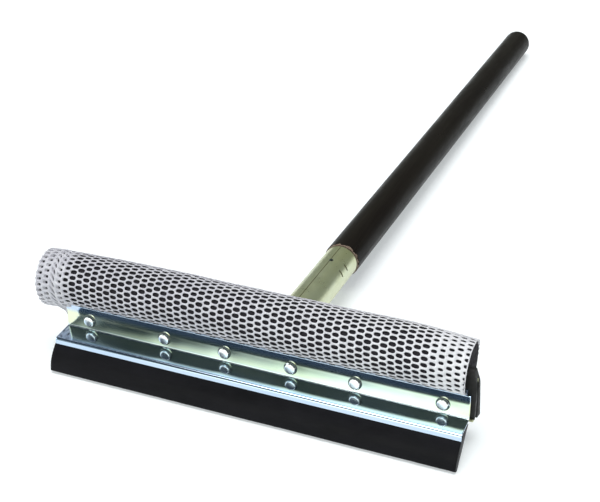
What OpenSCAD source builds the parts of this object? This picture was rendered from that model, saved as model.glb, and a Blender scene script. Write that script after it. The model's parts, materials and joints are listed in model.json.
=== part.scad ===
// Window cleaning squeegee: a sheet-metal head with a rubber blade and a net-covered
// sponge roll, on a wooden handle in a rolled ferrule.
//
// Every piece is drawn in the tool's own axes, then laid down as it rests on a table:
//   X  along the head, +X to the right of someone looking from the blade to the handle
//   Y  along the handle, towards its tip (the blade's side is -Y)
//   Z  up, away from the table
// The tool's own origin is the middle of the rivet row, on the front of the riveted face.
// Profiles across the head are lists of [y, z].

/* [Head] */
// Length of the head's metal and of the blade
head_len = 203.2; // [203.2:0.1:240]
// Thickness of every sheet-metal piece
sheet_t = 0.8; // [0.6:0.1:1]
// Radius of the sheet's tight bends, at the middle of its thickness
bend_r = 1; // [0.8:0.1:1.4]
// Radius of the soft bend under the top flange
flange_bend_r = 12; // [6:1:14]
// Height of the riveted face above the rivet row
face_up = 3.2; // [3:0.1:3.6]
// Height of the riveted face below the rivet row
face_down = 4.6; // [4.2:0.1:5.2]
// How far the shelf reaches forward of the riveted face
shelf_depth = 12.2; // [11.6:0.1:13]
// How much lower the shelf's front is than its back
shelf_drop = 0.9; // [0.4:0.1:1.4]
// Height of the lip that hangs from the shelf's front
lip_h = 3.2; // [2.6:0.1:3.6]
// How far the top flange leans forward
flange_run = 1; // [0.6:0.1:1.2]
// How far the top flange rises
flange_rise = 4.3; // [4:0.1:4.4]

/* [Rivets] */
// Distance from the middle to each rivet of one half
rivet_x = [16.8, 48.3, 89.3];
// Radius of a rivet's shank
shank_r = 1.6; // [1.2:0.1:2]
// Radius of a rivet's collar
collar_r = 3.3; // [2.8:0.1:4]
// Radius of a rivet's dome
dome_r = 2.6; // [2:0.1:2.7]
// Height of the dome over the collar
dome_h = 0.85; // [0.6:0.05:1.3]

/* [Blade] */
// Radius of the rounded root that the free part bends about
root_r = 3.2; // [2.8:0.1:3.3]
// Gap round the root, between the free part and the clamped part
root_gap = 0.12; // [0.08:0.01:0.3]
// Angle that the clamped part leaves open for bending, each way
bend_room = 37; // [20:1:40]

/* [Sponge roll] */
// Radius of the roll over its net
roll_r = 13.6; // [12:0.1:14]
// Thickness of the net
net_t = 0.6; // [0.4:0.1:1]
// Position of the roll's axis behind the riveted face
roll_y = 8.3; // [8.2:0.1:9]
// Height of the roll's axis over the rivet row
roll_z = 17.4; // [17.4:0.1:18]
// Left end of the net
net_left = -115; // [-120:1:-104]
// Right end of the net
net_right = 99.5; // [97:0.5:101]
// How far the sponge stops short of the net on the left
sponge_in_left = 1.5; // [1:0.5:4]
// How far the sponge stops short of the net on the right
sponge_in_right = 1; // [1:0.5:8]
// Thickness of the net's flattened edge where it is clamped
tail_t = 0.8; // [0.6:0.1:1]
// Thickness of the rubber strip's front leg
strip_t = 2.6; // [2:0.1:3]
// How far the strip and the back plate sit to the right of the head's middle
strip_shift = 1.6; // [0:0.1:1.8]

/* [Handle] */
// Diameter of the handle
handle_d = 19.5; // [18:0.5:22]
// Height of the handle's axis over the rivet row
handle_z = -2.5; // [-3:0.1:-2]
// Where the handle's shoulder stands, behind the riveted face
shoulder_y = 110.7; // [100:1:130]
// Where the handle's tip ends
tip_y = 515.2; // [400:1:560]
// Length of the rounding at the handle's tip
tip_round = 8; // [4:0.5:9]
// Outer diameter of the ferrule
ferrule_d = 18.2; // [17.6:0.1:18.4]
// How far the tenon reaches into the ferrule
tenon_len = 62; // [30:1:90]

/* [Hidden] */
$fn = 64;

eps = 0.01;
ARC_STEPS = 10; // facets in a sheet bend

// The clamped stack, from the front plate to the ferrule's wings
tail_y = sheet_t;
jaw_y = tail_y + tail_t;
strip_y = jaw_y + sheet_t;
back_y = strip_y + strip_t;
wing_y = back_y + sheet_t;
wing_end_y = wing_y + sheet_t;

// The blade's profile
shelf_front_z = -face_down - shelf_drop;
lip_end_z = shelf_front_z - lip_h;
face_mid = [-16, -13.5];
face_low = [-17.7, -17.6];
edge_front = [-18, -20.9];
edge_rear = [-15.3, -22.2];
rear_top = [0, -7.2];                          // the rear line's start, under the shelf
rear_line = (edge_rear - rear_top) / norm(edge_rear - rear_top);
rear_out = [-rear_line[1], rear_line[0]];      // across the blade, towards its back
jaw_end = rear_top + rear_line * 6.9;
root_c = [-10.6, -12.3];                       // axis that the free part bends about
blade_dir = 228;                               // direction from the root to the edge

// The rubber strip and the plate behind it
leg_end_z = -7;                                // lower end of the strip's front leg
leg_cut = 0.9;                                 // its corners, cut to sit in the plate's bend
strip_top_z = 18.6;
fold_r = (strip_t + sheet_t) / 2 + 1;
rear_leg_out = [14, -10.5];
rear_leg_in = [8.6, -9.2];
jaw_top_z = 9;
back_top_z = 13.5;
slot_gap = 0.1;                                // between the sponge and what it sits over

// Inset of the pieces behind the front plate from its ends
inset = 2;

// The ferrule
ferrule_r = ferrule_d / 2;
tenon_r = ferrule_r - sheet_t;
ferrule_end_y = shoulder_y - 1.2;
seam_w = 0.35;
wing_x = 23.5;
wing_low = -8.4;
wing_top = 5.6;
wing_round = 3;
stake_y = [89.5, 96.5];                        // two stakes, along the handle
stake_w = 1;
stake_arc = [18, 42];                          // from and to, round the ferrule
brad_y = 93.5;
brad_r = 0.7;
brad_turn = 86;                                // round the ferrule, from +X towards +Z

// How the tool lies: on the blade's rear edge and on the handle near its tip
touch_y = tip_y - tip_round;
drop = (handle_z - handle_d / 2) - edge_rear[1];
lie = -atan(drop / (touch_y - edge_rear[0]));
lift = -(edge_rear[0] * sin(lie) + edge_rear[1] * cos(lie));
mid_x = (net_left + head_len / 2 + strip_shift) / 2;
mid_y = (edge_front[0] * cos(lie) - edge_front[1] * sin(lie)
         + tip_y * cos(lie) - handle_z * sin(lie)) / 2;

// ---- Helpers ----------------------------------------------------------------------

// Lays a piece drawn in the tool's own axes down on the table
module at_rest()
{
    translate([-mid_x, -mid_y, lift]) rotate([lie, 0, 0]) children();
}

// Runs a [y, z] profile along the head from x0 to x1
module along_head(x0, x1)
{
    translate([x0, 0, 0]) rotate([90, 0, 90]) linear_extrude(height = x1 - x0) children();
}

// A direction as a unit vector, and a vector's angle
function unit(a) = [cos(a), sin(a)];
function angle_of(v) = atan2(v[1], v[0]);
// The difference between two directions, from -180 to 180
function turn(a, b) = let (d = b - a) d > 180 ? d - 360 : d < -180 ? d + 360 : d;

// The middle line of a bent sheet as [point, direction], with an arc at each corner;
// radii holds the arcs' radii in turn
function bent(pts, radii) = [
    [pts[0], angle_of(pts[1] - pts[0])],
    for (i = [1 : 1 : len(pts) - 2])
        let (r = radii[i - 1],
             a = angle_of(pts[i] - pts[i - 1]),
             t = turn(a, angle_of(pts[i + 1] - pts[i])),
             back = r * tan(abs(t) / 2),
             start = pts[i] - unit(a) * back,
             side = t > 0 ? 1 : -1,
             centre = start + unit(a + 90 * side) * r)
            for (k = [0 : ARC_STEPS])
                let (d = a + t * k / ARC_STEPS)
                    [centre - unit(d + 90 * side) * r, d],
    [pts[len(pts) - 1], angle_of(pts[len(pts) - 1] - pts[len(pts) - 2])]
];

// A sheet of thickness t about that line
module sheet(pts, t, radii)
{
    line = bent(pts, radii);
    polygon(concat(
        [for (s = line) s[0] + unit(s[1] + 90) * t / 2],
        [for (i = [len(line) - 1 : -1 : 0]) line[i][0] - unit(line[i][1] + 90) * t / 2]));
}

// A cylinder along Y through (x, z), from y0 to y1
module along_y(x, z, r, y0, y1)
{
    translate([x, y1, z]) rotate([90, 0, 0]) cylinder(r = r, h = y1 - y0);
}

// The holes for all six rivets through everything between y0 and y1
module rivet_holes(y0, y1)
{
    for (x = rivet_x, side = [-1, 1])
        along_y(side * x, 0, shank_r + 0.05, y0 - 1, y1 + 1);
}

// ---- Sheet metal ------------------------------------------------------------------

module front_plate()
{
    h = sheet_t / 2;
    flange = unit(angle_of([-flange_run, flange_rise]));
    flange_len = norm([flange_run, flange_rise]);
    corner = [h, face_up + h * 0.6];
    at_rest() color("silver") difference() {
        along_head(-head_len / 2, head_len / 2)
            sheet([corner + flange * flange_len,
                   corner,
                   [h, -face_down - h],
                   [-shelf_depth + h, shelf_front_z - h],
                   [-shelf_depth + h, lip_end_z]],
                  sheet_t, [flange_bend_r, bend_r, bend_r]);
        rivet_holes(0, sheet_t);
    }
}

module rear_jaw()
{
    h = sheet_t / 2;
    web_y = jaw_y + h;
    on_line = rear_top - rear_out * h;
    bend_z = on_line[1] + (web_y - on_line[0]) * rear_line[1] / rear_line[0];
    at_rest() color("lightgray") difference() {
        along_head(-head_len / 2 + inset, head_len / 2 - inset)
            sheet([[web_y, jaw_top_z],
                   [web_y, bend_z],
                   jaw_end - rear_out * h], sheet_t, [bend_r]);
        rivet_holes(jaw_y, jaw_y + sheet_t);
    }
}

module back_plate()
{
    h = sheet_t / 2;
    hook_y = strip_y - h;
    hook_z = leg_end_z - h - 0.1;
    at_rest() color("darkkhaki") difference() {
        along_head(strip_shift - head_len / 2 + 0.4, strip_shift + head_len / 2 - 0.4)
            sheet([[back_y + h, back_top_z],
                   [back_y + h, hook_z],
                   [hook_y, hook_z],
                   [hook_y, hook_z + 1.6]], sheet_t, [1.2, 1.2]);
        rivet_holes(back_y, back_y + sheet_t);
    }
}

module rivet(x, grip)
{
    tail_r = 2.5;
    tail_h = 1;
    collar_h = 0.45;
    dome_curve_r = (dome_r * dome_r + dome_h * dome_h) / (2 * dome_h);
    dome_half = asin(dome_r / dome_curve_r);
    at_rest() color("gainsboro") translate([x, 0, 0]) rotate([90, 0, 0]) union() {
        translate([0, 0, -grip]) cylinder(r = shank_r, h = grip);
        translate([0, 0, -grip - tail_h]) cylinder(r = tail_r, h = tail_h);
        cylinder(r1 = collar_r, r2 = collar_r - 0.35, h = collar_h);
        rotate_extrude()
            polygon(concat([[0, collar_h - eps]],
                [for (k = [0 : ARC_STEPS])
                    let (a = dome_half * (1 - k / ARC_STEPS))
                        [dome_curve_r * sin(a),
                         collar_h + dome_h + dome_curve_r * (cos(a) - 1)]]));
    }
}

// The four outer rivets stop at the back plate, the middle two hold the ferrule's wings
module rivet_1() { rivet(-rivet_x[2], wing_y); }
module rivet_2() { rivet(-rivet_x[1], wing_y); }
module rivet_3() { rivet(-rivet_x[0], wing_end_y); }
module rivet_4() { rivet(rivet_x[0], wing_end_y); }
module rivet_5() { rivet(rivet_x[1], wing_y); }
module rivet_6() { rivet(rivet_x[2], wing_y); }

// ---- Rubber -----------------------------------------------------------------------

// The blade's clamped root: under the shelf, between the lip and the jaw
module blade_heel()
{
    front_y = -shelf_depth + sheet_t + 0.1;
    jaw_in = -rear_out * (sheet_t + 0.05);
    room = 90 - bend_room;
    rear_wall = root_c + unit(blade_dir - 180 - room) * 4.7;
    heel_top = rear_top + jaw_in + rear_line * -0.6;
    at_rest() color([0.12, 0.12, 0.12]) difference() {
        along_head(-head_len / 2, head_len / 2)
            polygon([heel_top,
                     [front_y, shelf_front_z - sheet_t - 0.1],
                     [front_y, lip_end_z - 0.3],
                     root_c,
                     rear_wall,
                     jaw_end + rear_line * 0.1,
                     jaw_end + rear_line * 0.1 + jaw_in]);
        translate([-head_len / 2 - 1, root_c[0], root_c[1]]) rotate([0, 90, 0])
            cylinder(r = root_r + root_gap, h = head_len + 2);
    }
}

// The blade's free part, which bends about the root's axis
module blade_lip()
{
    across = unit(blade_dir - 90) * root_r;
    at_rest() color([0.15, 0.15, 0.15]) union() {
        translate([-head_len / 2, root_c[0], root_c[1]]) rotate([0, 90, 0])
            cylinder(r = root_r, h = head_len);
        along_head(-head_len / 2, head_len / 2)
            polygon([root_c + across, face_mid, face_low, edge_front, edge_rear,
                     root_c - across]);
    }
}

// The strip's fold over the back plate's top, as an arc that stands off by grow
function strip_fold(grow) = [
    for (a = [180 : -15 : 45])
        [strip_y + fold_r, strip_top_z - fold_r] + unit(a) * (fold_r + grow)
];

// The strip's outline: a front leg against the jaw, the fold, and a thicker rear leg
module strip_outline()
{
    polygon(concat(
        [[strip_y + leg_cut, leg_end_z], [strip_y, leg_end_z + leg_cut]],
        strip_fold(0),
        [rear_leg_out, rear_leg_in, [back_y + sheet_t + 0.1, back_top_z + 0.2],
         [back_y, back_top_z + 0.2], [back_y, leg_end_z + leg_cut],
         [back_y - leg_cut, leg_end_z]]));
}

module backing_strip()
{
    notch_x = wing_x + 1;
    at_rest() color([0.1, 0.1, 0.1]) difference() {
        along_head(strip_shift - head_len / 2, strip_shift + head_len / 2) strip_outline();
        rivet_holes(strip_y, back_y);
        // the rear leg is cut away round the ferrule and its wings
        translate([-notch_x, wing_y - eps, rear_leg_out[1] - 1])
            cube([2 * notch_x, 12, 9.5 - rear_leg_out[1]]);
        // and over each outer rivet's tail
        for (x = [rivet_x[1], rivet_x[2]], side = [-1, 1])
            along_y(side * x, 0, 3, wing_y - eps, wing_y + 3);
    }
}

// ---- Sponge roll ------------------------------------------------------------------

module roll(r, x0, x1)
{
    translate([x0, roll_y, roll_z]) rotate([0, 90, 0]) rotate([0, 0, 150])
        cylinder(r = r, h = x1 - x0);
}

// What the roll sits over: the clamped stack from the net's edge to the rear leg, and
// the ferrule
module under_roll()
{
    along_head(-head_len / 2 - 0.3, head_len / 2 + 0.3)
        polygon(concat([[jaw_y, -10], [jaw_y, jaw_top_z + slot_gap],
                        [strip_y - slot_gap, jaw_top_z + slot_gap]],
                       strip_fold(slot_gap),
                       [rear_leg_out + [slot_gap, 0], rear_leg_out + [0, -2]]));
    // and the flat that the top flange presses in its front
    flange_top = [sheet_t - flange_run, face_up + flange_rise];
    along_head(-head_len / 2 - 0.3, head_len / 2 + 0.3)
        polygon([[-5, 0], [-5, flange_top[1] + 0.5], flange_top + [0.15, 0.5],
                 [sheet_t + 0.15, face_up], [sheet_t + 0.15, 0]]);
    relief_x = ferrule_r + 0.8;
    relief_z = handle_z + ferrule_r + 0.4;
    translate([-relief_x, back_y, roll_z - 2 * roll_r])
        cube([2 * relief_x, 2 * roll_r, relief_z - roll_z + 2 * roll_r]);
}

module sponge()
{
    at_rest() color([0.25, 0.23, 0.26]) difference() {
        roll(roll_r - net_t - 0.05, net_left + sponge_in_left, net_right - sponge_in_right);
        under_roll();
    }
}

module net_sleeve()
{
    tail_x = net_right - 3;
    at_rest() color("white") difference() {
        union() {
            difference() {
                roll(roll_r, net_left, net_right);
                roll(roll_r - net_t, net_left - 1, net_right + 1);
                under_roll();
            }
            // the flattened edge, from the roll's underside down past the rivets
            translate([-tail_x, tail_y + eps, -3.4])
                cube([2 * tail_x, tail_t - 2 * eps, 9.6]);
        }
        rivet_holes(tail_y, tail_y + tail_t);
    }
}

// ---- Handle -----------------------------------------------------------------------

// One stake: a short cut round the ferrule, through its wall
module stake(y)
{
    translate([0, y + stake_w / 2, handle_z]) rotate([90, 0, 0])
        rotate([0, 0, stake_arc[0]])
            rotate_extrude(angle = stake_arc[1] - stake_arc[0])
                translate([tenon_r - 0.1, 0]) square([sheet_t + 1, stake_w]);
}

module ferrule()
{
    at_rest() color([0.62, 0.62, 0.42]) difference() {
        union() {
            along_y(0, handle_z, ferrule_r, wing_y, ferrule_end_y);
            translate([0, wing_end_y, 0]) rotate([90, 0, 0])
                linear_extrude(height = sheet_t) wing_outline();
        }
        along_y(0, handle_z, tenon_r, wing_y - 1, ferrule_end_y + 1);
        translate([-seam_w / 2, wing_y - 1, handle_z + tenon_r / 2])
            cube([seam_w, ferrule_end_y - wing_y + 2, ferrule_r]);
        rivet_holes(wing_y, wing_end_y);
        for (y = stake_y) stake(y);
        translate([0, brad_y, handle_z]) rotate([0, 90 - brad_turn, 0])
            cylinder(r = brad_r + 0.03, h = ferrule_r + 1);
    }
}

// Both wings in one outline, with round corners
module wing_outline()
{
    x = wing_x - wing_round;
    z0 = wing_low + wing_round;
    z1 = wing_top - wing_round;
    translate([-wing_x, z0]) square([2 * wing_x, z1 - z0]);
    translate([-x, wing_low]) square([2 * x, wing_top - wing_low]);
    for (cx = [-x, x], cz = [z0, z1]) translate([cx, cz]) circle(r = wing_round);
}

module ferrule_brad()
{
    head_r = 1.1;
    head_h = 0.35;
    at_rest() color("gainsboro") translate([0, brad_y, handle_z])
        rotate([0, 90 - brad_turn, 0]) union() {
            translate([0, 0, ferrule_r - 7]) cylinder(r = brad_r, h = 7 + eps);
            translate([0, 0, ferrule_r]) cylinder(r1 = head_r, r2 = head_r * 0.7, h = head_h);
        }
}

module handle()
{
    r = handle_d / 2;
    shoulder_cut = 0.7;
    tenon_fit = 0.05;
    at_rest() color([0.17, 0.14, 0.12]) difference() {
        translate([0, 0, handle_z]) rotate([-90, 0, 0]) rotate_extrude()
            polygon(concat(
                [[0, shoulder_y - tenon_len],
                 [tenon_r - tenon_fit - 0.8, shoulder_y - tenon_len],
                 [tenon_r - tenon_fit, shoulder_y - tenon_len + 1.5],
                 [tenon_r - tenon_fit, shoulder_y],
                 [r - shoulder_cut, shoulder_y],
                 [r, shoulder_y + shoulder_cut],
                 [r, tip_y - tip_round]],
                [for (k = [1 : 12])
                    let (a = 90 * k / 12) [r * cos(a), tip_y - tip_round + tip_round * sin(a)]]));
        translate([0, brad_y, handle_z]) rotate([0, 90 - brad_turn, 0])
            translate([0, 0, ferrule_r - 7.2]) cylinder(r = brad_r + 0.03, h = 10);
    }
}

front_plate();
rear_jaw();
back_plate();
backing_strip();
blade_heel();
blade_lip();
sponge();
net_sleeve();
rivet_1();
rivet_2();
rivet_3();
rivet_4();
rivet_5();
rivet_6();
ferrule();
ferrule_brad();
handle();
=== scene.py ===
"""A window cleaning squeegee: sheet-metal head, rubber blade, netted sponge roll and
wooden handle. Every length below is in millimetres unless its name ends in _m.

Pieces are drawn in the tool's own axes, as the design is: x along the head, y along the
handle towards its tip, z up, from the middle of the rivet row. place() takes them to the
frame, where the tool lies tilted on its blade's edge and its handle's tip."""

import json
import math
import random

import bmesh
import bpy
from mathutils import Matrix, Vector, noise


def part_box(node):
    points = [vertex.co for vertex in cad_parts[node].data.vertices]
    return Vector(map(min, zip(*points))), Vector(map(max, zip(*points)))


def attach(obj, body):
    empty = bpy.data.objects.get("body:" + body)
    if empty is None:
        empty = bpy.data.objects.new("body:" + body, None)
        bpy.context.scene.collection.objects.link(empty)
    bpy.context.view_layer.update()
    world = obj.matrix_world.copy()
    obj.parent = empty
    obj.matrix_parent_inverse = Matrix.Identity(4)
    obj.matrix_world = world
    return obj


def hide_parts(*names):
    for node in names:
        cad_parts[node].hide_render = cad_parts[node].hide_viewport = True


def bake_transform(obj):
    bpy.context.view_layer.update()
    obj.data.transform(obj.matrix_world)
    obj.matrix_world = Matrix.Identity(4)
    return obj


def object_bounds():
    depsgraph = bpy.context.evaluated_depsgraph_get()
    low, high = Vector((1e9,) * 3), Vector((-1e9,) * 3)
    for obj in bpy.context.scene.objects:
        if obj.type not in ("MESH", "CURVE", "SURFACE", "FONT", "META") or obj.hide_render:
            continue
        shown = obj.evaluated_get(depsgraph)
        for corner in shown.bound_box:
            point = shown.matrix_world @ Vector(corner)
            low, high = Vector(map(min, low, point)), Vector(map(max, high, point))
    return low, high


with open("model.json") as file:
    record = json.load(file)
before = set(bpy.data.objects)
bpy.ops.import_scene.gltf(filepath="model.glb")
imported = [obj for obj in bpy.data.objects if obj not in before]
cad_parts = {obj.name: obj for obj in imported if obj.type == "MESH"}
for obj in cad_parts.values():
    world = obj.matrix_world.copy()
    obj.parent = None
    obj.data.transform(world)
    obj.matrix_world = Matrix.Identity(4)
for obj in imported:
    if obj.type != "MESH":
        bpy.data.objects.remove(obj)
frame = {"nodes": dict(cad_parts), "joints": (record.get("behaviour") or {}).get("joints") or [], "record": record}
CAD_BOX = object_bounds()
RECORD = frame["record"]
MM = 0.001
HEAD = "head_and_handle"

# ---- The tool's axes in the frame ------------------------------------------------------

GRIP = next(m for m in RECORD["mounts"] if m["name"] == "grip")
FLEX = next(j for j in frame["joints"] if j["name"] == "blade_flex")
ACROSS = Vector((1, 0, 0))
ALONG = Vector(GRIP["axis"]).normalized()
UP = ACROSS.cross(ALONG)
ROOT_Y, ROOT_Z = -10.6, -12.3  # the blade's bending axis, from the rivet row
ORIGIN = Vector(FLEX["pos_m"]) - (ALONG * ROOT_Y + UP * ROOT_Z) * MM

# ---- Sizes -----------------------------------------------------------------------------

HEAD_HALF = (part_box("front_plate")[1].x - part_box("front_plate")[0].x) / MM / 2
NET_LEFT = (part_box("net_sleeve")[0].x - ORIGIN.x) / MM - 1.5  # its knitted edge flares out
NET_RIGHT = (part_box("net_sleeve")[1].x - ORIGIN.x) / MM
SPONGE_LEFT = (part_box("sponge")[0].x - ORIGIN.x) / MM
SPONGE_RIGHT = (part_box("sponge")[1].x - ORIGIN.x) / MM
ROLL_Y, ROLL_Z, ROLL_R = 8.3, 17.4, 13.6
SPONGE_R = 12.9
FOAM_SKIN = 0.35  # the foam's cut surface lies this far under SPONGE_R
LUMP = 0.25  # how far the roll's slow lumps stand up or sink
SHOULDER_Y = 110.7  # where the handle meets the ferrule


def place(x, y, z):
    """A point in the tool's axes, in millimetres, as a point in the frame, in metres."""
    return ORIGIN + (ACROSS * x + ALONG * y + UP * z) * MM


def smooth_step(v):
    v = min(max(v, 0.0), 1.0)
    return v * v * (3 - 2 * v)


# ---- Node helpers ----------------------------------------------------------------------


class Shader:
    """A material with one Principled shader, and short calls for the nodes it needs."""

    def __init__(self, name, color, roughness, metallic=0.0):
        self.material = bpy.data.materials.new(name)
        self.material.use_nodes = True
        self.nodes = self.material.node_tree.nodes
        self.links = self.material.node_tree.links
        self.bsdf = self.nodes["Principled BSDF"]
        self.set("Base Color", (*color, 1))
        self.set("Roughness", roughness)
        self.set("Metallic", metallic)
        self.coords = self.nodes.new("ShaderNodeTexCoord").outputs["Object"]

    def set(self, socket, value):
        self.bsdf.inputs[socket].default_value = value

    def join(self, output, socket):
        self.links.new(output, self.bsdf.inputs[socket])

    def stretched(self, scale, turn=(0, 0, 0)):
        """Object coordinates scaled along each axis, for grain and brushing."""
        node = self.nodes.new("ShaderNodeMapping")
        node.inputs["Scale"].default_value = scale
        node.inputs["Rotation"].default_value = turn
        self.links.new(self.coords, node.inputs["Vector"])
        return node.outputs["Vector"]

    def noise(self, scale, detail=3, roughness=0.5, coords=None):
        node = self.nodes.new("ShaderNodeTexNoise")
        node.inputs["Scale"].default_value = scale
        node.inputs["Detail"].default_value = detail
        node.inputs["Roughness"].default_value = roughness
        self.links.new(coords or self.coords, node.inputs["Vector"])
        return node.outputs["Fac"]

    def cells(self, scale, coords=None):
        node = self.nodes.new("ShaderNodeTexVoronoi")
        node.inputs["Scale"].default_value = scale
        self.links.new(coords or self.coords, node.inputs["Vector"])
        return node.outputs["Distance"]

    def ramp(self, value, *stops):
        """Colours or grey levels at positions from 0 to 1 of a value."""
        node = self.nodes.new("ShaderNodeValToRGB")
        elements = node.color_ramp.elements
        while len(elements) < len(stops):
            elements.new(0.5)
        for element, (position, level) in zip(elements, stops):
            element.position = position
            color = level if isinstance(level, tuple) else (level,) * 3
            element.color = (*color, 1)
        self.links.new(value, node.inputs["Fac"])
        return node.outputs["Color"]

    def mix(self, factor, a, b, blend="MIX"):
        node = self.nodes.new("ShaderNodeMix")
        node.data_type = "RGBA"
        node.blend_type = blend
        for value, socket in ((factor, 0), (a, 6), (b, 7)):
            if isinstance(value, (int, float)):
                node.inputs[socket].default_value = value
            elif isinstance(value, tuple):
                node.inputs[socket].default_value = (*value, 1)
            else:
                self.links.new(value, node.inputs[socket])
        return node.outputs[2]

    def math(self, operation, a, b=0.0, c=0.0):
        node = self.nodes.new("ShaderNodeMath")
        node.operation = operation
        for i, value in enumerate((a, b, c)):
            if isinstance(value, (int, float)):
                node.inputs[i].default_value = value
            else:
                self.links.new(value, node.inputs[i])
        return node.outputs[0]

    def along_handle(self):
        """How far a point is behind the riveted face, in metres."""
        node = self.nodes.new("ShaderNodeVectorMath")
        node.operation = "DOT_PRODUCT"
        node.inputs[1].default_value = ALONG
        self.links.new(self.coords, node.inputs[0])
        return self.math("SUBTRACT", node.outputs["Value"], ORIGIN.dot(ALONG))

    def height(self):
        """How far a point is above the rivet row, in metres."""
        node = self.nodes.new("ShaderNodeVectorMath")
        node.operation = "DOT_PRODUCT"
        node.inputs[1].default_value = UP
        self.links.new(self.coords, node.inputs[0])
        return self.math("SUBTRACT", node.outputs["Value"], ORIGIN.dot(UP))

    def bump(self, height, distance_m, strength=1.0, below=None):
        node = self.nodes.new("ShaderNodeBump")
        node.inputs["Distance"].default_value = distance_m
        node.inputs["Strength"].default_value = strength
        self.links.new(height, node.inputs["Height"])
        if below is not None:
            self.links.new(below, node.inputs["Normal"])
        self.join(node.outputs["Normal"], "Normal")
        return node.outputs["Normal"]


# ---- Materials -------------------------------------------------------------------------


def zinc_material():
    """Bright zinc plate: a near mirror whose passivation drifts from blue, where it
    drained off the lip and the flange, to a faint yellow-green on the riveted face."""
    s = Shader("zinc_plate", (0.66, 0.7, 0.7), 0.1, 1.0)
    stain = s.noise(28, 4, 0.6, s.stretched((0.5, 1, 1)))
    face = s.ramp(stain, (0.3, (0.66, 0.7, 0.44)), (0.55, (0.78, 0.82, 0.62)),
                  (0.75, (0.72, 0.77, 0.66)))
    rim = s.ramp(stain, (0.3, (0.5, 0.63, 0.79)), (0.7, (0.58, 0.69, 0.82)))
    height = s.height()
    off_face = s.ramp(s.math("ABSOLUTE", s.math("MULTIPLY", height, 1 / (10 * MM))),
                      (0.3, 0.0), (0.52, 1.0))
    s.join(s.mix(off_face, face, rim), "Base Color")
    smear = s.noise(90, 5, 0.65, s.stretched((0.3, 1, 1)))
    s.join(s.ramp(smear, (0.3, 0.05), (0.7, 0.15)), "Roughness")
    rolling = s.noise(900, 2, 0.5, s.stretched((0.02, 1, 1)))
    s.bump(rolling, 0.000003, 1.0)
    return s.material


def olive_zinc_material():
    """Yellow-passivated zinc: olive and brass tints that drift along the sheet."""
    s = Shader("olive_zinc", (0.5, 0.52, 0.36), 0.2, 1.0)
    drift = s.noise(45, 3, 0.55, s.stretched((1, 0.3, 1)))
    s.join(s.ramp(drift, (0.3, (0.48, 0.48, 0.22)), (0.5, (0.58, 0.6, 0.36)),
                  (0.72, (0.62, 0.66, 0.5))), "Base Color")
    s.join(s.ramp(s.noise(150, 3, 0.6), (0.3, 0.26), (0.75, 0.38)), "Roughness")
    scratches = s.noise(1500, 2, 0.5, s.stretched((1, 0.03, 1)))
    s.bump(scratches, 0.000004, 1.0, s.bump(s.noise(70, 1), 0.0002, 0.2))
    return s.material


def rivet_material():
    """Bright plated steel, with a dark ring round each head where it meets the sheet: partly grime, partly painted
    shade in the groove.
    """
    s = Shader("rivet_plate", (0.9, 0.91, 0.92), 0.1, 1.0)
    s.join(s.ramp(s.noise(500, 4, 0.6), (0.35, 0.1), (0.7, 0.24)), "Roughness")
    bright = s.ramp(s.noise(300, 2), (0.3, (0.86, 0.89, 0.9)), (0.7, (0.95, 0.95, 0.94)))
    uneven = s.math("MULTIPLY", s.math("SUBTRACT", s.noise(420, 2), 0.5), 0.0007)
    level = s.math("ADD", s.along_handle(), uneven)
    # the dark ring at the sheet is partly grime and partly painted shade in the groove under the head
    grime_and_groove_shade = s.math("GREATER_THAN", level, -0.52 * MM)
    s.join(s.mix(grime_and_groove_shade, bright, (0.1, 0.12, 0.12)), "Base Color")
    s.bump(s.noise(900, 3), 0.00002, 0.5)
    return s.material


def blade_material():
    """Moulded natural rubber, black, with a faint dusty bloom and fine draw lines."""
    s = Shader("blade_rubber", (0.012, 0.012, 0.014), 0.5)
    bloom = s.noise(70, 5, 0.65, s.stretched((0.35, 1, 1)))
    s.join(s.ramp(bloom, (0.35, (0.004, 0.004, 0.005)), (0.75, (0.008, 0.0078, 0.01))),
           "Base Color")
    s.join(s.ramp(s.noise(160, 4, 0.6), (0.3, 0.34), (0.7, 0.52)), "Roughness")
    draw = s.noise(2600, 2, 0.5, s.stretched((0.015, 1, 1)))
    s.bump(draw, 0.00002, 0.7, s.bump(s.noise(2200, 3), 0.000012, 0.6))
    s.set("Specular IOR Level", 0.08)
    return s.material


def strip_material():
    s = Shader("strip_rubber", (0.013, 0.013, 0.015), 0.6)
    s.join(s.ramp(s.noise(220, 5, 0.65), (0.3, (0.006, 0.006, 0.006)),
                  (0.75, (0.018, 0.018, 0.018))), "Base Color")
    s.join(s.ramp(s.noise(500, 3), (0.3, 0.5), (0.7, 0.75)), "Roughness")
    s.bump(s.noise(1800, 4, 0.6), 0.00006, 0.6)
    s.set("Specular IOR Level", 0.3)
    return s.material


def foam_material():
    """Charcoal foam with a purple cast: open pores over soft lumps."""
    s = Shader("sponge_foam", (0.05, 0.045, 0.055), 0.95)
    pores = s.cells(1500)
    fine = s.noise(2600, 3, 0.6)
    # the foam is coloured darker where its bumps sink, most in the pores' pits: painted shade
    tone = s.mix(0.5, s.ramp(pores, (0.1, (0.005, 0.004, 0.006)), (0.6, (0.022, 0.019, 0.026))),
                 s.ramp(fine, (0.35, (0.006, 0.005, 0.008)), (0.7, (0.026, 0.022, 0.03))))
    s.join(tone, "Base Color")
    s.bump(pores, 0.0005, 0.8, s.bump(fine, 0.0002, 0.5))
    return s.material


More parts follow.
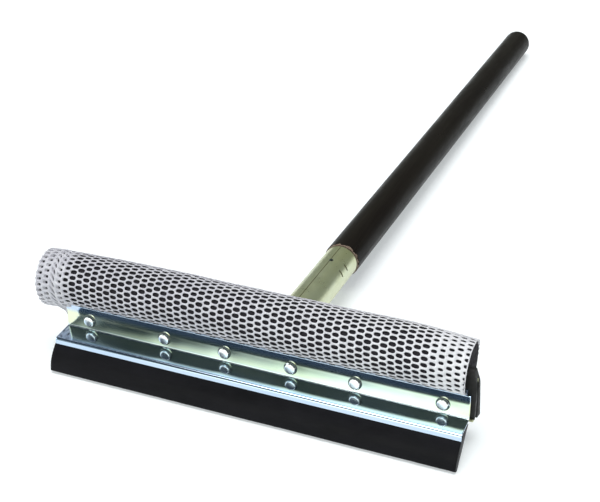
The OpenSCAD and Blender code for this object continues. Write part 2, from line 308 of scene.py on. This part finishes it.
def net_material():
    """Knitted nylon: white with a lilac cast, twisted filaments, a soft gloss."""
    s = Shader("nylon_net", (0.84, 0.84, 0.9), 0.5)
    tone = s.noise(260, 4, 0.6)
    shaded_tone = s.ramp(tone, (0.3, (0.43, 0.425, 0.48)), (0.6, (0.52, 0.515, 0.565)),
                  (0.8, (0.6, 0.6, 0.63)))
    lit_tone = s.ramp(tone, (0.3, (0.6, 0.6, 0.64)), (0.8, (0.74, 0.74, 0.77)))
    parts = s.nodes.new("ShaderNodeSeparateXYZ")
    s.links.new(s.coords, parts.inputs[0])
    # painted light: the net is coloured lighter towards the roll's right end, where the light comes from
    rightwards = s.math("MULTIPLY_ADD", parts.outputs["X"], 5.0, 0.5)
    s.join(s.mix(s.ramp(rightwards, (0.35, 0.0), (1.0, 1.0)), shaded_tone, lit_tone), "Base Color")
    s.join(s.ramp(s.noise(800, 2), (0.3, 0.4), (0.7, 0.62)), "Roughness")
    twist = s.noise(5200, 2, 0.5, s.stretched((0.5, 1, 1), (0.5, 0.3, 0.6)))
    s.bump(twist, 0.00025, 0.7)
    s.set("Subsurface Weight", 0.25)
    s.set("Subsurface Radius", (0.0006, 0.0006, 0.0006))
    s.set("Sheen Weight", 0.25)
    s.set("Sheen Roughness", 0.4)
    return s.material


def wood_material():
    """Dark stained dowel with hardly any gloss; bare wood shows on the tenon's shoulder."""
    s = Shader("dark_wood", (0.03, 0.024, 0.02), 0.35)
    lengthwise = s.stretched((1, 0.035, 1))
    grain = s.noise(900, 5, 0.6, lengthwise)
    figure = s.noise(120, 3, 0.55, s.stretched((1, 0.08, 1)))
    stain = s.mix(0.55, s.ramp(grain, (0.35, (0.005, 0.0035, 0.003)), (0.7, (0.012, 0.009, 0.0075))),
                  s.ramp(figure, (0.3, (0.006, 0.0045, 0.004)), (0.7, (0.013, 0.0115, 0.0085))))
    bare = s.ramp(grain, (0.3, (0.12, 0.08, 0.06)), (0.7, (0.3, 0.24, 0.19)))
    # the stain is worn through in a ragged ring at the shoulder
    ragged = s.math("MULTIPLY", s.math("SUBTRACT", s.noise(420, 3), 0.5), 0.0022)
    behind = s.math("ADD", s.along_handle(), ragged)
    worn = s.math("LESS_THAN", behind, (SHOULDER_Y + 0.55) * MM)
    s.join(s.mix(worn, stain, bare), "Base Color")
    s.join(s.ramp(s.noise(200, 4, 0.6, s.stretched((1, 0.2, 1))), (0.3, 0.26), (0.7, 0.44)),
           "Roughness")
    s.bump(grain, 0.00006, 0.5)
    s.set("Specular IOR Level", 0.035)
    return s.material


MATERIALS = {
    "zinc_sheet": zinc_material(),
    "yellow_zinc_sheet": olive_zinc_material(),
    "rivet_steel": rivet_material(),
    "blade_rubber": blade_material(),
    "strip_rubber": strip_material(),
    "foam": foam_material(),
    "nylon_net": net_material(),
    "dark_wood": wood_material(),
}

# ---- Mesh helpers ----------------------------------------------------------------------


def new_piece(name, bm, slot, body=HEAD, smooth=True):
    """A mesh object from bmesh, with its slot's material, riding on a body."""
    bmesh.ops.recalc_face_normals(bm, faces=bm.faces)
    mesh = bpy.data.meshes.new(name)
    bm.to_mesh(mesh)
    bm.free()
    piece = bpy.data.objects.new(name, mesh)
    bpy.context.scene.collection.objects.link(piece)
    mesh.materials.append(MATERIALS[slot])
    mesh.polygons.foreach_set("use_smooth", [smooth] * len(mesh.polygons))
    if body:
        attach(piece, body)
    return piece


def loft(bm, rings):
    """Joins rings of vertices, all closed and of one length, with quads."""
    for a, b in zip(rings, rings[1:]):
        n = len(a)
        for i in range(n):
            bm.faces.new((a[i], a[(i + 1) % n], b[(i + 1) % n], b[i]))


# ---- The sponge roll -------------------------------------------------------------------


def roll_drop(x):
    """How far the roll hangs down near its two free ends."""
    left = max(0.0, (-62 - x) / 53) ** 2 * 2.2
    right = max(0.0, (x - 58) / 42) ** 2 * 1.7
    return left + right


def roll_swell(x):
    """How the roll's radius changes along it: loose at the left, tight at the right."""
    return 0.6 * smooth_step((-85 - x) / 25) - 0.25 * smooth_step((x - 75) / 20)


def behind_plate(x, y, z, front_y):
    """The roll is pressed back to front_y where it bears on the plate's upper edge, all
    but its left end, which hangs over it."""
    pressed = smooth_step((9.6 - z) / 1.6) * smooth_step((x + HEAD_HALF) / 6)
    return y + max(0.0, front_y - y) * pressed


def roll_point(x, angle, radius):
    """A point on the roll at an angle from straight back, turning over the top."""
    r = radius + roll_swell(x)
    r += LUMP * noise.noise(Vector((x * 0.05, math.cos(angle) * 1.5, math.sin(angle) * 1.5)))
    z = ROLL_Z - roll_drop(x) + r * math.sin(angle)
    y = ROLL_Y + r * math.cos(angle)
    if abs(x) < HEAD_HALF + 1:
        y = behind_plate(x, y, z, 0.5)
    return place(x, y, z)


def make_sponge():
    """The foam roll: a lumpy cylinder with torn-looking pores on its two cut ends."""
    bm = bmesh.new()
    turns, steps = 96, 150
    left = SPONGE_LEFT - 1.2  # the cut end swells out
    stations = [left + (SPONGE_RIGHT - left) * i / steps for i in range(steps + 1)]

    def ring(x, share):
        verts = []
        for k in range(turns):
            a = 2 * math.pi * k / turns
            rough = 0.28 * noise.noise(Vector((x * 0.9, math.cos(a) * 11, math.sin(a) * 11)))
            edge = 0.0
            if share < 1:
                hole = noise.noise(Vector((share * 16, math.cos(a) * share * 15,
                                           math.sin(a) * share * 15)))
                edge = 0.9 * min(0.0, hole - 0.05) - 0.5 * (1 - share) * share
                edge *= -1 if x < 0 else 1
            radius = (SPONGE_R - FOAM_SKIN + rough) * share
            verts.append(bm.verts.new(roll_point(x + edge, a, radius)))
        return verts

    cap = [0.06, 0.2, 0.34, 0.48, 0.62, 0.75, 0.86, 0.95]
    rings = [ring(stations[0], s) for s in cap]
    rings += [ring(x, 1) for x in stations]
    rings += [ring(stations[-1], s) for s in reversed(cap)]
    loft(bm, rings)
    bm.faces.new(rings[0])
    bm.faces.new(rings[-1])
    sponge = new_piece("sponge_foam", bm, "foam")
    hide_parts("sponge")
    return sponge


# The net's stitch pattern: holes in columns round the roll, every other one half a hole on
PITCH_X, PITCH_S = 3.73, 2.85
SKEW = 0.077  # the columns lean, in mm along the head for each mm round the roll
HOLE_X, HOLE_S = 1.8, 1.08  # half a hole's width and height
STRAND_T = 0.42  # the netting's thickness
CROWN = 0.16  # the strands' middles stand this far above the holes' rims
NET_ROWS = 30
JITTER_X, JITTER_S = 0.14, 0.12  # how far a stitch strays
NET_START = math.radians(-83)  # where the net's rear edge meets the rubber strip
TAIL_ANGLE = math.radians(236.5)  # where the front edge leaves the roll for the rivets
TAIL_Y = 1.2  # where the net's front edge hangs, between the plate and the jaw
LEFT_HEM = 16.5  # how much of the left end is folded in


def net_path(s, x, radius):
    """A point of the net, s mm along its girth, and the way out of it, in [y, z]."""
    girth = NET_ROWS * PITCH_S
    arc = (TAIL_ANGLE - NET_START) * ROLL_R
    if s <= arc:
        a = NET_START + s / ROLL_R
        y, z = ROLL_Y + radius * math.cos(a), ROLL_Z + radius * math.sin(a)
        out = (math.cos(a), math.sin(a))
    else:
        y = TAIL_Y
        z = ROLL_Z + radius * math.sin(TAIL_ANGLE) - (s - arc)
        out = (-1, 0)
    # past the head's left end the girth closes into a full round
    closed = smooth_step((-100.5 - x) / 7)
    a = NET_START - 0.33 * closed + s / girth * 2 * math.pi
    round_y, round_z = ROLL_Y + radius * math.cos(a), ROLL_Z + radius * math.sin(a)
    y += (round_y - y) * closed
    z += (round_z - z) * closed
    out = (out[0] + (math.cos(a) - out[0]) * closed, out[1] + (math.sin(a) - out[1]) * closed)
    return y, z, out


def net_point(x, s, lift, inset):
    """A point on the net's middle surface; lift stands off it and inset lies under it."""
    radius = ROLL_R - STRAND_T / 2 - CROWN - inset + roll_swell(x)
    y, z, out = net_path(s, x, radius)
    drop = roll_drop(x)
    lumps = LUMP * noise.noise(Vector((x * 0.05, out[0] * 1.5, out[1] * 1.5)))
    slack = 0.12 * noise.noise(Vector((x * 0.35, s * 0.35, 4.0)))
    off = lift + lumps + slack
    y, z = y + out[0] * off, z - drop + out[1] * off
    if abs(x) < HEAD_HALF + 1:
        y = behind_plate(x, y, z, -0.05)
    return place(x, y, z)


def hole_share(x):
    """How open a hole is at x: both ends of the net are knitted tighter."""
    left = 0.3 * smooth_step((-98.5 - x) / 2)
    right = 0.26 * smooth_step((x - 78) / 8)
    return 1 - left - right


def make_net(name, x0, x1, inset, shift, rng):
    """One layer of netting from x0 to x1: a ring of quads round every hole."""
    bm = bmesh.new()
    shared = {}
    side = (PITCH_X ** 2 + (PITCH_S / 2) ** 2) / (2 * PITCH_X)
    top = PITCH_X - side
    columns = range(int(round((x1 - x0) / PITCH_X)))
    corners = [(side, 0), (top, 1), (-top, 1), (-side, 0), (-top, -1), (top, -1)]

    def junction(column, dx, quarter):
        """A vertex of the strands' middle, shared by the cells that meet there. Rows are
        counted in quarters, because the columns stand half a hole apart."""
        x = column * PITCH_X + dx
        key = (round(x * 50), quarter)
        if key not in shared:
            jx = x + rng.uniform(-JITTER_X, JITTER_X)
            s = quarter * PITCH_S / 4 + rng.uniform(-JITTER_S, JITTER_S)
            s = min(max(s, 0), NET_ROWS * PITCH_S)
            x_at = min(max(x0 + jx + SKEW * (s - 40), x0 + 0.1 * rng.random()), x1)
            shared[key] = bm.verts.new(net_point(x_at, s, CROWN, inset))
        return shared[key]

    for c in columns:
        for row in range(NET_ROWS):
            mid = row * 4 + 2 + (2 if (c + shift) % 2 else 0)
            if mid > NET_ROWS * 4 - 2:
                continue
            outer = []
            for i in range(6):
                (ax, av), (bx, bv) = corners[i], corners[(i + 1) % 6]
                outer.append(junction(c + 0.5, ax, mid + 2 * av))
                outer.append(junction(c + 0.5, (ax + bx) / 2, mid + av + bv))
            size = (1 + rng.uniform(-0.09, 0.07)) * hole_share(x0 + (c + 0.5) * PITCH_X)
            inner = []
            for i in range(12):
                a = math.pi * i / 6
                ca, sa = math.cos(a), math.sin(a)
                hx = HOLE_X * size * math.copysign(abs(ca) ** 0.82, ca)
                hs = HOLE_S * size * math.copysign(abs(sa) ** 0.82, sa)
                s = mid * PITCH_S / 4 + hs
                x_at = x0 + (c + 0.5) * PITCH_X + hx + SKEW * (s - 40)
                x_at = min(max(x_at, x0 + 0.3), x1 - 0.3)
                inner.append(bm.verts.new(net_point(x_at, s, 0.0, inset)))
            for i in range(12):
                k = (i + 1) % 12
                bm.faces.new((outer[i], outer[k], inner[k], inner[i]))
    piece = new_piece(name, bm, "nylon_net")
    solid = piece.modifiers.new("strand", "SOLIDIFY")
    solid.thickness = STRAND_T * MM
    solid.offset = 0
    return piece


def make_nets():
    rng = random.Random(7)
    net = make_net("net_sleeve_mesh", NET_LEFT, NET_RIGHT, 0.0, 0, rng)
    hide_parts("net_sleeve")
    # the left end is folded in: a second layer under the first
    x0, x1 = NET_LEFT + 0.7, NET_LEFT + LEFT_HEM
    hem = make_net("net_hem_left", x0, x1, 0.5, 0, rng)


# ---- The blade -------------------------------------------------------------------------

LIP_BACK_Y = -11.3  # the back of the plate's lip
HEEL_TOP_Z = -6.7
FACE = [(-11.3, -8.4), (-12.25, -9.0), (-14.2, -11.1), (-16.0, -13.6), (-17.2, -16.0),
        (-17.75, -18.4), (-18.0, -20.9)]
EDGE_REAR = (-15.3, -22.2)
REAR_TOP = (-0.7, -6.6)


def blade_outline():
    """The blade's section, clockwise from the back of its root, with its edge just eased."""
    steps_top, steps_rear, fine = 8, 26, 3
    outline = []
    for i in range(steps_top):
        t = i / steps_top
        outline.append((REAR_TOP[0] + (LIP_BACK_Y - REAR_TOP[0]) * t,
                        REAR_TOP[1] + (HEEL_TOP_Z - REAR_TOP[1]) * t))
    outline.append((LIP_BACK_Y, HEEL_TOP_Z))
    for (ay, az), (by, bz) in zip(FACE, FACE[1:]):
        for i in range(fine):
            outline.append((ay + (by - ay) * i / fine, az + (bz - az) * i / fine))
    ease = 0.25
    fy, fz = FACE[-1]
    ry, rz = EDGE_REAR
    run = math.hypot(ry - fy, rz - fz)
    ny, nz = (ry - fy) / run, (rz - fz) / run
    outline += [(fy, fz + ease), (fy + ny * ease, fz + nz * ease),
                ((fy + ry) / 2, (fz + rz) / 2),
                (ry - ny * ease, rz - nz * ease), (ry + 0.6 * ease, rz + 0.7 * ease)]
    for i in range(1, steps_rear):
        t = i / steps_rear
        outline.append((ry + (REAR_TOP[0] - ry) * t, rz + (REAR_TOP[1] - rz) * t))
    return outline


def make_blade():
    bm = bmesh.new()
    outline = blade_outline()
    steps = 120
    rings = []
    left = HEAD_HALF + 0.5  # its left end stands a little out of the plate
    for i in range(steps + 1):
        x = -left + (left + HEAD_HALF) * i / steps
        ring = []
        for y, z in outline:
            low = smooth_step((-9 - z) / 12)
            wave = 0.14 * low * noise.noise(Vector((x * 0.045, 1.5, z * 0.05)))
            nick = 0.06 * low * noise.noise(Vector((x * 0.5, y * 0.4, z * 0.4)))
            ring.append(bm.verts.new(place(x, y + wave + nick, z + 0.3 * nick)))
        rings.append(ring)
    loft(bm, rings)
    bm.faces.new(rings[0])
    bm.faces.new(rings[-1])
    blade = new_piece("blade_rubber", bm, "blade_rubber", body=None)
    sharp = blade.modifiers.new("edges", "BEVEL")
    sharp.width = 0.18 * MM
    sharp.segments = 2
    sharp.limit_method = "ANGLE"
    sharp.angle_limit = math.radians(40)
    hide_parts("blade_heel", "blade_lip")
    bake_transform(blade)
    return blade


# ---- The front plate -------------------------------------------------------------------

SHEET_T = 0.8
BOW, BOW_Z, BOW_TOP_Z = 0.009, 0.4, 1.5  # the face's curve, its flattest height, its end
PINCH, PINCH_SPREAD = 0.12, 30  # how far, and over what square, each rivet draws it in
BEND_RADII = [12.0, 1.0, 1.05]  # flange, shelf and lip
LEAN_FROM, FACE_DOWN = 3.4, 4.6  # above LEAN_FROM the face leans forward
SHELF_DEPTH, SHELF_DROP, LIP_H = 12.2, 0.9, 3.2
FLANGE_TOP = (-1.0, 7.7)
RIVETS_X = [(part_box("rivet_%d" % i)[0].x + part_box("rivet_%d" % i)[1].x) / 2 for i in range(1, 7)]
RIVETS_X = [(x - ORIGIN.x) / MM for x in RIVETS_X]


def bent_line(corners, radii, steps):
    """The middle line of a bent sheet as (y, z, direction), with an arc at each corner."""
    line = []

    def run(a, b, d):
        count = max(2, int(math.dist(a, b) / 0.7))
        for k in range(count):
            t = (k + 0.5) / count
            line.append((a[0] + (b[0] - a[0]) * t, a[1] + (b[1] - a[1]) * t, d))

    start = corners[0]
    d = math.atan2(corners[1][1] - start[1], corners[1][0] - start[0])
    line.append((start[0], start[1], d))
    for corner, after, r in zip(corners[1:], corners[2:], radii):
        d2 = math.atan2(after[1] - corner[1], after[0] - corner[0])
        turn = (d2 - d + math.pi) % (2 * math.pi) - math.pi
        back = r * math.tan(abs(turn) / 2)
        first = (corner[0] - math.cos(d) * back, corner[1] - math.sin(d) * back)
        run(start, first, d)
        side = math.copysign(1, turn)
        cy = first[0] - math.sin(d) * r * side
        cz = first[1] + math.cos(d) * r * side
        for k in range(steps + 1):
            a = d + turn * k / steps
            line.append((cy + math.sin(a) * r * side, cz - math.cos(a) * r * side, a))
        start, d = line[-1][:2], d2
    run(start, corners[-1], d)
    line.append((*corners[-1], d))
    return line


def make_front_plate():
    """The pressed sheet: flange, riveted face, shelf and lip, drawn in a little at each
    rivet and not quite flat between them."""
    h = SHEET_T / 2
    shelf_z = -FACE_DOWN - SHELF_DROP
    corners = [(FLANGE_TOP[0] + h, FLANGE_TOP[1]), (h, LEAN_FROM),
               (h, -FACE_DOWN - h), (-SHELF_DEPTH + h, shelf_z - h),
               (-SHELF_DEPTH + h, shelf_z - LIP_H)]
    line = bent_line(corners, BEND_RADII, 10)
    outline = [(y - math.sin(a) * h, z + math.cos(a) * h) for y, z, a in line]
    outline += [(y + math.sin(a) * h, z - math.cos(a) * h) for y, z, a in reversed(line)]
    bm = bmesh.new()
    steps = 260
    rings = []
    for i in range(steps + 1):
        x = -HEAD_HALF + 2 * HEAD_HALF * i / steps
        near = min(abs(x - r) for r in RIVETS_X)
        ring = []
        for y, z in outline:
            on_face = smooth_step((y + 1.6) / 1.6)
            bow = -BOW * (min(z, BOW_TOP_Z) - BOW_Z) ** 2 * on_face
            pinch = PINCH * math.exp(-(near ** 2 + z ** 2) / PINCH_SPREAD) * on_face
            wave = 0.07 * noise.noise(Vector((x * 0.035, z * 0.03, 2.0)))
            sway = 0.05 * noise.noise(Vector((x * 0.03, y * 0.05, 7.0)))
            ring.append(bm.verts.new(place(x, y + bow + pinch + wave, z + sway)))
        rings.append(ring)
    loft(bm, rings)
    bm.faces.new(rings[0])
    bm.faces.new(rings[-1])
    plate = new_piece("front_plate_sheet", bm, "zinc_sheet")
    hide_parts("front_plate")
    edge = plate.modifiers.new("sheared_edge", "BEVEL")
    edge.width = 0.12 * MM
    edge.segments = 2
    edge.limit_method = "ANGLE"
    edge.angle_limit = math.radians(60)
    return plate


# ---- The rivets ------------------------------------------------------------------------

COLLAR_R, CROWN_R, CROWN_TOP, SHANK_R = 3.3, 2.35, 1.3, 1.6
CROWN_ANGLE = math.radians(5)  # the crown's slope at its rim


def make_rivet(number, x, rng):
    """A low-crowned head over a flat collar, its shank, and the upset tail behind."""
    name = "rivet_%d" % number
    low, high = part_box(name)
    back = (low - ORIGIN).dot(ALONG), (high - ORIGIN).dot(ALONG)
    tail_end = -max(back) / MM + 0.05
    ball = CROWN_R / math.sin(CROWN_ANGLE)
    profile = []
    for k in range(1, 8):
        r = CROWN_R * k / 7
        profile.append((r, CROWN_TOP - ball + math.sqrt(ball ** 2 - r ** 2)))
    edge_h = profile[-1][1]
    profile += [(2.5, edge_h - 0.1), (2.6, edge_h - 0.3), (2.62, 0.5), (2.66, 0.34),
                (2.8, 0.33), (3.0, 0.36), (3.17, 0.33), (3.27, 0.22), (COLLAR_R, 0.05),
                (COLLAR_R - 0.1, -0.1), (SHANK_R, -0.1), (SHANK_R, tail_end + 1),
                (2.3, tail_end + 0.98), (2.5, tail_end + 0.75), (2.45, tail_end + 0.3),
                (2.1, tail_end + 0.02)]
    tilt_x, tilt_z = rng.uniform(-0.03, 0.03), rng.uniform(-0.03, 0.03)
    bm = bmesh.new()
    turns = 48
    rings = []
    for r, h in profile:
        ring = []
        for k in range(turns):
            a = 2 * math.pi * k / turns
            u, v = r * math.cos(a), r * math.sin(a)
            lean = (u * tilt_x + v * tilt_z) * smooth_step((h + 0.2) / 0.5)
            ring.append(bm.verts.new(place(x + u, -h - lean, v)))
        rings.append(ring)
    loft(bm, rings)
    bm.faces.new(rings[0])
    bm.faces.new(rings[-1])
    head = new_piece(name + "_head", bm, "rivet_steel")
    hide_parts(name)


def make_rivets():
    rng = random.Random(3)
    for number, x in enumerate(RIVETS_X, start=1):
        make_rivet(number, x, rng)


# ---- The rubber strip ------------------------------------------------------------------

STRIP_Y, BACK_Y, FOLD_R, FOLD_TOP_Z = 2.4, 5.0, 2.7, 18.6
REAR_OUT, REAR_IN = (14.0, -10.5), (8.6, -9.2)
NOTCH_X, NOTCH_TOP_Z = 24.5, 9.5


def between(a, b, z):
    """The point of the line from a to b at height z."""
    t = (z - a[1]) / (b[1] - a[1])
    return a[0] + (b[0] - a[0]) * t, z


def sampled(outline, step):
    """A closed outline with its long sides cut into steps."""
    points = []
    for a, b in zip(outline, outline[1:] + outline[:1]):
        count = max(1, round(math.dist(a, b) / step))
        points += [(a[0] + (b[0] - a[0]) * k / count, a[1] + (b[1] - a[1]) * k / count)
                   for k in range(count)]
    return points


def add_strip_part(bm, outline, x0, x1):
    """One length of the strip. It sits to the right, more so towards its free ends."""
    steps = max(2, round((x1 - x0) / 2.5))
    shift = (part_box("backing_strip")[1].x - ORIGIN.x) / MM - HEAD_HALF
    rings = []
    for i in range(steps + 1):
        ring = []
        for y, z in sampled(outline, 1.6):
            x = x0 + (x1 - x0) * i / steps
            slip = shift * smooth_step((19 - z) / 9)
            x += slip * abs(x) / HEAD_HALF
            free = smooth_step((y - 7) / 6) * smooth_step((8 - z) / 14)
            flap = 0.5 * noise.noise(Vector((x * 0.02, 3.0, z * 0.03))) * free
            skin = 0.06 * noise.noise(Vector((x * 0.3, y * 0.5, z * 0.5)))
            ring.append(bm.verts.new(place(x, y + flap + skin * 0.5, z + skin)))
        rings.append(ring)
    loft(bm, rings)
    bm.faces.new(rings[0])
    bm.faces.new(rings[-1])


def make_strip():
    """The folded strip: a front leg and fold along the whole head, and a rear leg that is
    cut away round the ferrule."""
    centre = (STRIP_Y + FOLD_R, FOLD_TOP_Z - FOLD_R)
    arc = [(centre[0] + FOLD_R * math.cos(math.radians(a)),
            centre[1] + FOLD_R * math.sin(math.radians(a))) for a in range(180, 44, -9)]
    inner_top = (BACK_Y + 0.9, 13.7)
    cut_out = between(arc[-1], REAR_OUT, NOTCH_TOP_Z)
    cut_in = between(inner_top, REAR_IN, NOTCH_TOP_Z)
    front = [(STRIP_Y + 0.9, -7.0), (STRIP_Y, -6.1), *arc, cut_out, cut_in, inner_top,
             (BACK_Y, inner_top[1]), (BACK_Y, -6.1), (BACK_Y - 0.9, -7.0)]
    overlap_z = NOTCH_TOP_Z + 0.3  # the rear leg's two lengths run into the fold
    rear = [between(arc[-1], REAR_OUT, overlap_z), REAR_OUT, REAR_IN,
            between(inner_top, REAR_IN, overlap_z)]
    bm = bmesh.new()
    add_strip_part(bm, front, -HEAD_HALF, HEAD_HALF)
    add_strip_part(bm, rear, -HEAD_HALF, -NOTCH_X)
    add_strip_part(bm, rear, NOTCH_X, HEAD_HALF)
    strip = new_piece("strip_rubber", bm, "strip_rubber")
    edge = strip.modifiers.new("cut_edge", "BEVEL")
    edge.width = 0.2 * MM
    edge.segments = 2
    edge.limit_method = "ANGLE"
    edge.angle_limit = math.radians(50)
    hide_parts("backing_strip")


# ---- The CAD nodes that stay -----------------------------------------------------------


def dress_nodes():
    """Gives each carried-over node its slot's material."""
    slots = {row["node"]: row["material_slot"] for row in RECORD["subparts"]}
    for name, node in frame["nodes"].items():
        node.data.materials.clear()
        node.data.materials.append(MATERIALS[slots[name]])


# ---- Studio ----------------------------------------------------------------------------


def make_floor():
    bm = bmesh.new()
    bmesh.ops.create_grid(bm, x_segments=8, y_segments=8, size=6)
    mesh = bpy.data.meshes.new("floor")
    bm.to_mesh(mesh)
    bm.free()
    floor = bpy.data.objects.new("floor", mesh)
    bpy.context.scene.collection.objects.link(floor)
    floor.location.z = CAD_BOX[0].z
    # lit a little by itself, so that the tool's shadow stays faint
    paper = Shader("floor_paper", (0.6, 0.62, 0.63), 0.9)
    paper.set("Emission Color", (0.94, 0.98, 1.0, 1))
    paper.set("Emission Strength", 0.42)
    mesh.materials.append(paper.material)


def glow(tree, azimuth, elevation, inner, outer, color, strength):
    """Light from a round patch of the sky, in degrees, that fades from inner to outer.
    Azimuth 0 is in front of the blade and grows to the right."""
    a, e = math.radians(azimuth), math.radians(elevation)
    towards = (math.sin(a) * math.cos(e), -math.cos(a) * math.cos(e), math.sin(e))
    coords = tree.nodes.new("ShaderNodeTexCoord")
    dot = tree.nodes.new("ShaderNodeVectorMath")
    dot.operation = "DOT_PRODUCT"
    dot.inputs[1].default_value = towards
    tree.links.new(coords.outputs["Generated"], dot.inputs[0])
    fade = tree.nodes.new("ShaderNodeMapRange")
    fade.interpolation_type = "SMOOTHSTEP"
    fade.inputs["From Min"].default_value = math.cos(math.radians(outer))
    fade.inputs["From Max"].default_value = math.cos(math.radians(inner))
    fade.inputs["To Max"].default_value = strength
    tree.links.new(dot.outputs["Value"], fade.inputs["Value"])
    patch = tree.nodes.new("ShaderNodeBackground")
    patch.inputs["Color"].default_value = (*color, 1)
    tree.links.new(fade.outputs["Result"], patch.inputs["Strength"])
    return patch.outputs["Background"]


def make_studio():
    """Soft patches of light in a dim room: overhead, in front, at the left and behind."""
    make_floor()
    world = bpy.data.worlds.new("studio")
    world.use_nodes = True
    tree = world.node_tree
    room = tree.nodes["Background"]
    room.inputs["Color"].default_value = (0.66, 0.85, 1.0, 1)
    room.inputs["Strength"].default_value = 0.08
    patches = [glow(tree, 0, 90, 17, 26, (1.0, 1.0, 1.0), 7.0),
               glow(tree, 5, 8, 24, 37, (0.97, 1.0, 0.9), 2.3),
               glow(tree, -64, 16, 24, 32, (0.95, 1.0, 1.0), 1.6),
               glow(tree, 180, 5, 25, 80, (0.9, 0.95, 0.8), 0.3)]
    total = room.outputs["Background"]
    for patch in patches:
        add = tree.nodes.new("ShaderNodeAddShader")
        tree.links.new(total, add.inputs[0])
        tree.links.new(patch, add.inputs[1])
        total = add.outputs["Shader"]
    tree.links.new(total, tree.nodes["World Output"].inputs["Surface"])
    bpy.context.scene.world = world
    bpy.context.scene.view_settings.view_transform = "Standard"


def make_camera():
    """A 74 mm lens from the front right, 29 degrees above the head."""
    camera = bpy.data.cameras.new("camera")
    camera.lens = 74.1
    camera.sensor_width = 36
    eye = bpy.data.objects.new("camera", camera)
    bpy.context.scene.collection.objects.link(eye)
    azimuth, elevation = math.radians(22.40), math.radians(28.98)
    look = Vector((-math.sin(azimuth) * math.cos(elevation),
                   math.cos(azimuth) * math.cos(elevation), -math.sin(elevation)))
    eye.location = (0.2055, -0.6804, 0.3432)
    eye.rotation_euler = look.to_track_quat("-Z", "Y").to_euler()
    bpy.context.scene.camera = eye


make_camera()
make_studio()
dress_nodes()
make_sponge()
make_nets()
make_blade()
make_front_plate()
make_rivets()
make_strip()
